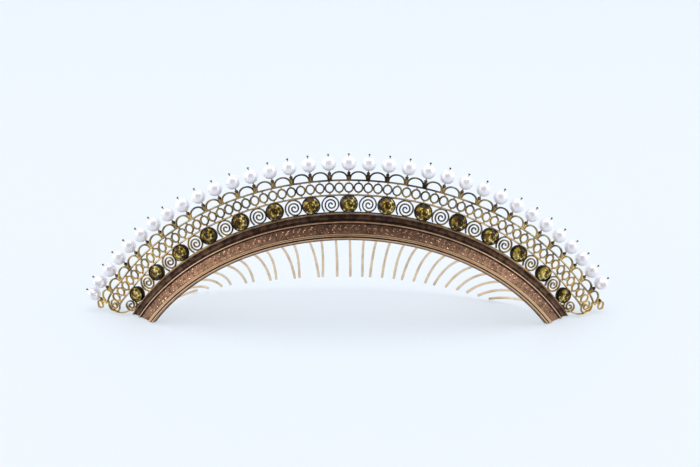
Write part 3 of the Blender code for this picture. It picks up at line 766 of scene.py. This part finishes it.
# %% Pins
PIN_SOLDER = 0.5 * MM
PIN_LENGTH = 2 * PEARL_RADIUS + 0.8 * MM
PINS = dict(count=ARCH_COUNT, spread=ARCH_SPREAD, shift=-ARCH_STEP / 2, splay=PIN_SPLAY,
            start_radius=ARC_RADIUS + ARCH_TOP * cos(GALLERY_SPLAY),
            start_forward=-ARCH_TOP * sin(GALLERY_SPLAY),
            row_radius=ARC_RADIUS + ARCH_TOP * cos(GALLERY_SPLAY))
pin_line = [(0.0, -PIN_SOLDER), (0.0, 0.1 * MM)] + [
    (0.0, PIN_LENGTH - below_mm * MM) for below_mm in (0.42, 0.35, 0.1, 0.0)]
pin = wire_mesh("pin", [pin_line], 0.34 * MM, 0.40 * MM, sides=6,
                swell=swell_by(1.0, 1.0, 0.45, 1.7, 1.7, 0.7))
lay_row("pins", pin, knot_gilt, PINS)

# %% [markdown]
# ## The free ends
# Each end closes with two small scrolls, a little ring under the last arch, and a wire that
# sweeps out from the band's corner and round the outer scroll.


# %% End pieces
def both_sides(line, shift_angle, height_at, stretch=1.0):
    """The line and its mirror image, each laid at its own end of the row."""
    around = row_radius(height_at)
    return [[(side * (shift_angle * around + x * stretch), height_at + y) for x, y in line]
            for side in (-1.0, 1.0)]


END_PIECES = (  # name, outward line, angle, height, stretch, closed, width
    ("end_inner_scrolls", spiral(2.25 * MM, 0.25 * MM, 2.1, 1.0, radians(150.0), 34),
     58.40, 2.45, 1.10, False, 0.42),
    ("end_outer_scrolls", spiral(2.50 * MM, 0.25 * MM, 2.1, -1.0, radians(75.0), 34),
     61.75, 7.0, 1.05, False, 0.45),
    ("end_rings", spiral(1.05 * MM, 1.05 * MM, 17 / 18, 1.0, 0.0, 17),
     64.5, 11.85, 1.35, True, 0.42),
    ("end_knots", spiral(0.25 * MM, 0.25 * MM, 7 / 8, 1.0, 0.0, 7), 63.4, 11.6, 1.0, True, 0.50),
)
for name, line, degrees, height_mm, stretch, closed, width_mm in END_PIECES:
    flat_lines = both_sides(line, radians(degrees), height_mm * MM, stretch)
    data = wire_mesh(name, flat_lines, width_mm * MM, 0.95 * WIRE_DEPTH, sides=6, closed=closed)
    settle(grow(name, data, lay_tree, wire_gilt, row_radius=row_radius(height_mm * MM)),
           "gilt_wire")

# %% The swept wires
SWEEP = ((-1.90, 0.76), (-0.85, 0.84), (0.17, 0.95), (1.20, 1.12), (2.24, 1.36), (3.15, 1.70),
         (4.00, 2.10), (4.85, 2.58), (5.60, 3.10), (6.35, 3.75), (6.95, 4.45), (7.40, 5.25),
         (7.60, 6.10), (7.60, 7.00), (7.30, 7.90))
sweep_lines = both_sides([(x * MM, y * MM) for x, y in SWEEP], radians(57.4), 0.0)
sweep = wire_mesh("sweep", sweep_lines, 0.42 * MM, 0.95 * WIRE_DEPTH, sides=6)
settle(grow("end_sweeps", sweep, lay_tree, wire_gilt, row_radius=row_radius(0.0)), "gilt_wire")

# %% [markdown]
# ## Collets and stones
# Each stone sits in a collet, a short tube of thin metal whose rim is rubbed over the girdle.
# The rim was then rolled to a row of fine grains. The collet is a section turned round its axis.


# %% Collets
def turned(name, section_line, sides):
    """A closed section of (radius, height, darkness for tarnish and painted shade) turned round Z.
    """
    work, tarnish_and_shade = open_mesh()
    rows = []
    for radius, up, dark_share in section_line:
        row = []
        for t in (tau * n / sides for n in range(sides)):
            row.append(work.verts.new((radius * cos(t), radius * sin(t), up)))
            row[-1][tarnish_and_shade] = dark_share
        rows.append(row)
    skin(work, rows, closed=True)
    return keep_mesh(work, name)


GIRDLE = WIRE_DEPTH / 2 + 0.75 * MM
# the third value darkens the collet: tarnish with painted shade
COLLET_SECTION = [(2.40 * MM, -WIRE_DEPTH / 2, 1.0), (2.58 * MM, -WIRE_DEPTH / 2, 1.0),
                  (2.66 * MM, 0.1 * MM, 1.0), (2.64 * MM, GIRDLE, 1.0),
                  (2.56 * MM, GIRDLE + 0.16 * MM, 0.8), (2.46 * MM, GIRDLE + 0.18 * MM, 0.8),
                  (2.38 * MM, GIRDLE + 0.08 * MM, 1.0)]
STONES = dict(count=STONE_COUNT, spread=STONE_SPREAD, height=ROW_CENTRE, taper=STONE_TAPER,
              row_radius=row_radius(ROW_CENTRE))
lay_row("collets", turned("collet", COLLET_SECTION, 28), knot_gilt, STONES)

# %% [markdown]
# The grains are a row inside a row, so they are set round one rim first and then repeated.

# %% Rolled grains on the rims
GRAIN_COUNT, GRAIN_RADIUS, GRAIN_RING = 26, 0.14 * MM, 2.56 * MM
work = bmesh.new()
for n in range(GRAIN_COUNT):
    t = tau * n / GRAIN_COUNT
    place_at = Vector((GRAIN_RING * cos(t), GRAIN_RING * sin(t), GIRDLE + 0.08 * MM))
    bmesh.ops.create_icosphere(work, subdivisions=1, radius=GRAIN_RADIUS,
                               matrix=Matrix.Translation(place_at))
lay_row("collet_grains", keep_mesh(work, "grains"), knot_gilt, STONES)

# %% [markdown]
# The stones are round paste brilliants with foil behind them. What the eye sees is a mosaic: the
# crown facets mirror the room, and through the table the foiled back shows as light and dark
# wedges. So the mesh has the true facets, and those wedges are painted: each facet keeps a
# painted reflection value of its own for the material.

# %% A cut stone
random.seed(11)
REFLECTION_SPREAD = 0.32
TABLE_UP, KITE_UP = 0.34, 0.17
CUT_RADIUS = STONE_RADIUS + 0.03 * MM


def cut_stone(name):
    """A round brilliant, with a painted reflection value for each facet."""
    work = bmesh.new()
    facet_reflection = work.faces.layers.float.new("facet_reflection")

    def ring_of(share, up, count, turn=0.0):
        return [work.verts.new((CUT_RADIUS * share * cos(turn + tau * k / count),
                                CUT_RADIUS * share * sin(turn + tau * k / count),
                                GIRDLE + up * CUT_RADIUS)) for k in range(count)]

    half = tau / 16
    heart = work.verts.new((0.0, 0.0, GIRDLE + TABLE_UP * CUT_RADIUS))
    core = ring_of(0.20, TABLE_UP, 8, half)
    star = ring_of(0.36, TABLE_UP, 8)
    table = ring_of(0.55, TABLE_UP, 8, half)
    kites = ring_of(0.78, KITE_UP, 8)
    girdle = ring_of(1.0, 0.0, 16)
    under = ring_of(1.0, -0.06, 16)
    culet = work.verts.new((0.0, 0.0, -0.35 * WIRE_DEPTH))

    def facet(value, *verts):
        value += random.uniform(-REFLECTION_SPREAD, REFLECTION_SPREAD)
        work.faces.new(verts)[facet_reflection] = min(1.0, max(0.0, value))

    # each facet gets a painted reflection value: light and dark wedges of the room and the foil
    for k in range(8):
        n = (k + 1) % 8
        facet(0.15, heart, core[k - 1], core[k])
        facet(0.30, star[k], core[k], core[k - 1])
        facet(0.62, star[k], star[n], core[k])
        facet(0.55, table[k], star[n], star[k])
        facet(0.35, table[k - 1], table[k], star[k])
        facet(0.75, table[k - 1], kites[k], table[k])
        facet(0.52, table[k], kites[k], girdle[(2 * k + 1) % 16], kites[n])
        facet(0.60, kites[k], girdle[2 * k], girdle[(2 * k + 1) % 16])
        facet(0.42, kites[k], girdle[2 * k - 1], girdle[2 * k])
    for k in range(16):
        n = (k + 1) % 16
        facet(0.20, girdle[k], under[k], under[n], girdle[n])
        facet(0.30, under[k], culet, under[n])
    return keep_mesh(work, name, smooth=False)


# %% [markdown]
# Paste is lead glass. Its colour comes from a ramp that runs from nearly black through brown and
# olive to pale yellow; the olive is the glass's own colour, and the dark and pale ends are painted
# reflections. The facet's painted reflection value picks the place on the ramp, and a fine swirl
# shifts it a little, a painted reflection of the facets behind.

# %% The glass and the stones
SWIRL_SCALE, SWIRL_GAIN = 330.0, 2.1
GLASS_AND_REFLECTION_TONES = ((0.0, (0.016, 0.010, 0.004)), (0.30, (0.045, 0.024, 0.007)),
               (0.50, (0.16, 0.090, 0.016)), (0.68, (0.34, 0.23, 0.030)),
               (0.86, (0.70, 0.55, 0.13)), (1.0, (0.92, 0.80, 0.40)))


def colour_ramp(tree, value, stops):
    """The colour at this value, from a row of places and colours."""
    ramp = add_node(tree, "ShaderNodeValToRGB")
    elements = ramp.color_ramp.elements
    for element, (at, colour) in zip(elements, (stops[0], stops[-1])):
        element.position, element.color = at, (*colour, 1.0)
    for at, colour in stops[1:-1]:
        elements.new(at).color = (*colour, 1.0)
    tree.links.new(value, ramp.inputs[0])
    return ramp.outputs[0]


paste, tree, shader = new_paint("olive_paste_finish",
                                {"Roughness": 0.06, "IOR": 1.6, "Specular IOR Level": 0.12})
# the painted reflection value of each facet picks the colour from the ramp
painted_facet_reflection = add_node(tree, "ShaderNodeAttribute", attribute_name="facet_reflection").outputs["Fac"]
mixed = calc(tree, "SUBTRACT", noise_on(tree, SWIRL_SCALE), 0.5)
mixed = calc(tree, "MULTIPLY_ADD", mixed, SWIRL_GAIN, painted_facet_reflection, clamp=True)
tree.links.new(colour_ramp(tree, mixed, GLASS_AND_REFLECTION_TONES), shader.inputs["Base Color"])
lay_row("cut_stones", cut_stone("cut_stone"), paste, STONES,
        *["stone_%02d" % (k + 1) for k in range(STONE_COUNT)], slot="olive_paste")

# %% [markdown]
# ## Pearls
# A pearl's glow comes from thin layers, between a mirror's and a stone's, so the finish is part
# metal and part plain white, with faint grey and rose clouds. No two pearls are equally large, so
# the row tree makes each copy a touch smaller by chance.

# %% Pearls
CLOUD_SCALE, CLOUD_ROUGHNESS, PEARL_ROUGHNESS = 330.0, 0.14, 0.22
PEARL_TONES = ((0.30, (0.89, 0.86, 0.92)), (0.72, (0.98, 0.95, 0.96)))
nacre, tree, shader = new_paint("pearl_finish", {"Metallic": 0.3, "IOR": 1.55})
clouds = noise_on(tree, CLOUD_SCALE)
tree.links.new(colour_ramp(tree, clouds, PEARL_TONES), shader.inputs["Base Color"])
feed(tree, shader.inputs["Roughness"],
     calc(tree, "MULTIPLY_ADD", clouds, CLOUD_ROUGHNESS, PEARL_ROUGHNESS))

work = bmesh.new()
bmesh.ops.create_uvsphere(work, u_segments=32, v_segments=20, radius=PEARL_RADIUS)
bmesh.ops.rotate(work, verts=work.verts, matrix=Matrix.Rotation(radians(90.0), 3, "X"))
lay_row("pearl_row", keep_mesh(work, "pearl"), nacre,
        dict(PINS, vary=0.03, height=0.1 * MM + PEARL_RADIUS),
        *["pearl_%02d" % (k + 1) for k in range(ARCH_COUNT)], slot="pearl")

# %% [markdown]
# ## The comb
# Behind the band runs a plain bar, and from it the teeth curve back and down. Each tooth is one
# bent wire, so each gets a line, and a tree sweeps a round section along all the lines at once, a
# little thicker towards the tips. The teeth on the left have been bent together in pairs.

# %% Lines of the teeth
TOOTH_COUNT = 27
TOOTH_RADIUS = 0.375 * MM
TIP_SWELL = 1.2
TOOTH_SPREAD = radians(53.3)
TOOTH_PITCH_LEFT, TOOTH_PITCH_RIGHT = 3.77 * MM, 3.35 * MM
TOOTH_REACH, TOOTH_REACH_LEFT, TOOTH_REACH_RIGHT = 21.5 * MM, 19.2 * MM, 13.9 * MM
TOOTH_TIP_LIFT = 4.0 * MM
TOOTH_PULL, TOOTH_WANDER, WANDER_STEP = 1.3 * MM, 0.4, 2.1
TOOTH_BOW, TOOTH_RISE = 0.7, 0.15
BAR_WIDTH, BAR_THICKNESS = 2.2 * MM, 0.8 * MM
HALF = (TOOTH_COUNT - 1) // 2
front_corner = band_place(floor_angle(BAND_WIDTH, 0.0), BAND_WIDTH, 0.0)


def tooth_line(number, steps=14):
    """The line of one tooth, counted from the middle one."""
    angle_at = TOOTH_SPREAD * number / HALF
    far = (number / HALF) ** 2
    if number < -1:
        drift = -TOOTH_PULL if number % 2 == 0 else TOOTH_PULL
    else:
        drift = TOOTH_WANDER * TOOTH_PULL * sin(WANDER_STEP * number)
    root = band_place(angle_at, BAND_WIDTH / 2, -CLEARANCE - BAR_THICKNESS / 2)
    front = (band_place(angle_at, BAND_WIDTH / 2, 0.0) - root).normalized()
    pitch = TOOTH_PITCH_LEFT if number < 0 else TOOTH_PITCH_RIGHT
    side_reach = TOOTH_REACH_LEFT if number < 0 else TOOTH_REACH_RIGHT
    tip = Vector((CENTRE_SIDE + pitch * number + drift * (1.0 - far),
                  front_corner.y + TOOTH_REACH + (side_reach - TOOTH_REACH) * far,
                  TIP_SWELL * TOOTH_RADIUS + TOOTH_TIP_LIFT * (1.0 - far)))
    length = (tip - root).length
    knee = root - front * length * TOOTH_BOW + Vector((0.0, 0.0, length * TOOTH_RISE))
    shares = [k / steps for k in range(steps + 1)]
    return [root * (1.0 - t) ** 2 + knee * 2.0 * t * (1.0 - t) + tip * t * t for t in shares]


lines = bpy.data.curves.new("tooth_lines", "CURVE")
lines.dimensions = "3D"
for number in range(-HALF, HALF + 1):
    points = tooth_line(number)
    spline = lines.splines.new("POLY")
    spline.points.add(len(points) - 1)
    for point, place_at in zip(spline.points, points):
        point.co = (*place_at, 1.0)
print("teeth:", len(lines.splines))

# %% The sweeping tree and the teeth
tooth_tree, tooth_in, tooth_out = new_tree("Sweep round wires",
                                           {"Radius": 0.001, "Tip": 0.8, "Sides": 10})
wire = tooth_in.outputs
along_wire = add_node(tooth_tree, "GeometryNodeSplineParameter").outputs["Factor"]
thin = calc(tooth_tree, "MULTIPLY", calc(tooth_tree, "POWER", along_wire, 2.0),
            calc(tooth_tree, "SUBTRACT", wire["Tip"], 1.0))
set_radius = add_node(tooth_tree, "GeometryNodeSetCurveRadius")
feed(tooth_tree, set_radius.inputs["Radius"], calc(tooth_tree, "ADD", thin, 1.0))
round_section = add_node(tooth_tree, "GeometryNodeCurvePrimitiveCircle")
feed(tooth_tree, round_section.inputs["Resolution"], wire["Sides"])
feed(tooth_tree, round_section.inputs["Radius"], wire["Radius"])
swept = add_node(tooth_tree, "GeometryNodeCurveToMesh")
feed(tooth_tree, swept.inputs["Profile Curve"], round_section.outputs["Curve"])
feed(tooth_tree, swept.inputs["Scale"],
     add_node(tooth_tree, "GeometryNodeInputRadius").outputs[0])
feed(tooth_tree, swept.inputs["Fill Caps"], True)
put_out(tooth_tree, tooth_in, tooth_out, tooth_in, set_radius, swept,
        add_node(tooth_tree, "GeometryNodeSetShadeSmooth"),
        add_node(tooth_tree, "GeometryNodeRealizeInstances"))
settle(grow("comb_teeth", lines, tooth_tree, comb_gilt, radius=TOOTH_RADIUS, tip=TIP_SWELL,
            sides=10), "comb_wire", "comb")

# %% [markdown]
# The bar is a flat strip with softened edges, swept round the arch just behind the band.

# %% The bar
BAR_LOW = (BAND_WIDTH - BAR_WIDTH) / 2
BAR_SPREAD = TOOTH_SPREAD + 0.03
THICK_CORNER, WIDE_CORNER = 0.15, 0.06
BAR_SECTION = ((0.0, THICK_CORNER), (WIDE_CORNER, 0.0),
               (1.0 - WIDE_CORNER, 0.0), (1.0, THICK_CORNER),
               (1.0, 1.0 - THICK_CORNER), (1.0 - WIDE_CORNER, 1.0),
               (WIDE_CORNER, 1.0), (0.0, 1.0 - THICK_CORNER))
bar_line = [(BAR_LOW + wide * BAR_WIDTH, -CLEARANCE - thick * BAR_THICKNESS, 0.0)
            for wide, thick in BAR_SECTION]
bar = place_new("comb_bar", sweep_round("comb_bar", bar_line, lambda *_: BAR_SPREAD,
                                        steps=160, sharp_from=radians(50.0)))
bar.data.materials.append(comb_gilt)
settle(bar, "comb_wire")

# %% [markdown]
# ## The table and the backdrop
# The tiara stands on a pale sheet that curves up behind it, so that no line parts the table from
# the background. The sheet is lit, and glows a little by itself to keep it pale.

# %% The sheet
SHEET_HALF, SHEET_FRONT, SHEET_TOP, SHEET_DROP = 1.6, -1.2, 1.6, 0.2 * MM
BEND_FROM, BEND_RADIUS, BEND_STEPS = 0.35, 0.25, 8
profile = [(SHEET_FRONT, 0.0), (-0.2, 0.0), (BEND_FROM, 0.0)]
for k in range(1, BEND_STEPS + 1):
    turn = pi / 2 * k / BEND_STEPS
    profile.append((BEND_FROM + BEND_RADIUS * sin(turn),
                    BEND_RADIUS - BEND_RADIUS * cos(turn)))
profile.append((BEND_FROM + BEND_RADIUS, SHEET_TOP))
work = bmesh.new()
rows = [[work.verts.new((x, y, z - SHEET_DROP)) for y, z in profile]
        for x in (-SHEET_HALF, SHEET_HALF)]
for k in range(len(profile) - 1):
    work.faces.new((rows[0][k], rows[1][k], rows[1][k + 1], rows[0][k + 1]))
sheet_mesh = bpy.data.meshes.new("sheet")
work.to_mesh(sheet_mesh)
work.free()
sheet_mesh.shade_smooth()
sheet = place_new("sheet", sheet_mesh)
sheet.data.materials.append(new_paint("pale_sheet", {
    "Base Color": (0.30, 0.31, 0.34, 1.0), "Roughness": 0.6, "Specular IOR Level": 0.2,
    "Emission Color": (0.85, 0.93, 1.0, 1.0), "Emission Strength": 0.58})[0])
sheet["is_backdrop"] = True
print("sheet:", len(sheet.data.polygons), "faces")

# %% [markdown]
# ## Light
# The picture is bright all round except behind the camera, and that dark side is what draws
# the dark lines in the metal and the grey spot on each pearl. The world gives both: white, with
# one soft dark patch in front and above. Three large soft lamps lift the top and both sides.

# %% The world
PATCH_RISE = radians(48.0)
PATCH_OUTER, PATCH_INNER = 0.50, 0.92
ROOM_COLOUR, PATCH_COLOUR = (0.93, 0.97, 1.0, 1.0), (0.10, 0.10, 0.11, 1.0)
ROOM_STRENGTH = 1.3
world = bpy.data.worlds.new("studio")
bpy.context.scene.world = world
world.use_nodes = True
tree = world.node_tree
facing = add_node(tree, "ShaderNodeVectorMath", operation="DOT_PRODUCT")
tree.links.new(add_node(tree, "ShaderNodeTexCoord").outputs["Generated"], facing.inputs[0])
facing.inputs[1].default_value = (0.0, -cos(PATCH_RISE), sin(PATCH_RISE))
patch_edge = add_node(tree, "ShaderNodeMapRange", interpolation_type="SMOOTHSTEP")
tree.links.new(facing.outputs["Value"], patch_edge.inputs["Value"])
patch_edge.inputs["From Min"].default_value = PATCH_OUTER
patch_edge.inputs["From Max"].default_value = PATCH_INNER
room = add_node(tree, "ShaderNodeMix", data_type="RGBA")
tree.links.new(patch_edge.outputs[0], room.inputs["Factor"])
room.inputs[6].default_value = ROOM_COLOUR
room.inputs[7].default_value = PATCH_COLOUR
tree.links.new(room.outputs[2], tree.nodes["Background"].inputs["Color"])
tree.nodes["Background"].inputs["Strength"].default_value = ROOM_STRENGTH
print("world:", world.name)

# %% Lamps
LAMPS = (  # name, place, width and height, watts, colour
    ("top_lamp", (0.0, 0.10, 0.95), (1.0, 0.6), 4.0, (1.0, 1.0, 1.0)),
    ("left_lamp", (-0.85, -0.15, 0.45), (0.5, 0.5), 2.2, (1.0, 0.97, 0.92)),
    ("right_lamp", (0.85, -0.10, 0.50), (0.5, 0.5), 2.2, (0.95, 0.98, 1.0)),
)
LAMP_TARGET = Vector((0.0, 0.0, 0.02))
for name, place_at, size, watts, colour in LAMPS:
    lamp = bpy.data.lights.new(name, "AREA")
    lamp.shape = "RECTANGLE"
    lamp.size, lamp.size_y = size
    lamp.energy, lamp.color = watts, colour
    item = place_new(name, lamp)
    item.location = place_at
    aim = LAMP_TARGET - Vector(place_at)
    item.rotation_euler = aim.to_track_quat("-Z", "Y").to_euler()
    print(name, watts, "W")

# %% [markdown]
# ## The camera
# The place of the camera was worked out from the photograph by fitting the rows of stones,
# rings and arches: 26 degrees above the table, 344 mm from the top of the band, with a turn of
# under a degree. A lens of 61 mm on a 36 mm wide sensor gives the same framing.

# %% Camera
ELEVATION = radians(26.0)
YAW, ROLL = radians(0.86), radians(0.115)
PIXEL, PICTURE_WIDTH, SENSOR_WIDTH = 0.29 * MM, 700.0, 36.0
AWAY, ASIDE, BELOW = 1185.0, 1.15, -19.5  # from the top of the band, in pixels of its size
camera_axes = (Matrix.Rotation(pi / 2 - ELEVATION, 3, "X") @ Matrix.Rotation(YAW, 3, "Y")
               @ Matrix.Rotation(ROLL, 3, "Z"))
camera_at = band_place(0.0, 0.0, 0.0) + camera_axes @ (Vector((ASIDE, BELOW, AWAY)) * PIXEL)
lens = bpy.data.cameras.new("camera")
lens.sensor_width = SENSOR_WIDTH
lens.lens = SENSOR_WIDTH * AWAY / PICTURE_WIDTH
camera = place_new("camera", lens)
camera.matrix_world = Matrix.Translation(camera_at) @ camera_axes.to_4x4()
bpy.context.scene.camera = camera
bpy.context.scene.view_settings.view_transform = "Standard"
print("camera at, mm:", [round(v * 1000, 1) for v in camera_at])

# %% [markdown]
# ## The boxes
# The dressed tiara must be as large as its solids. Both boxes are printed.

# %% Print the boxes and finish
size_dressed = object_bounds()
boxes = {"cad": [list(corner) for corner in size_cad],
         "visual": [list(corner) for corner in size_dressed]}
for label, corners in boxes.items():
    print(label, [[round(v * 1000, 2) for v in corner] for corner in corners])
triangles = sum(sum(len(face.vertices) - 2 for face in piece.data.polygons)
                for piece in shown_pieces() if piece.type == "MESH")
print("triangles shown:", triangles)
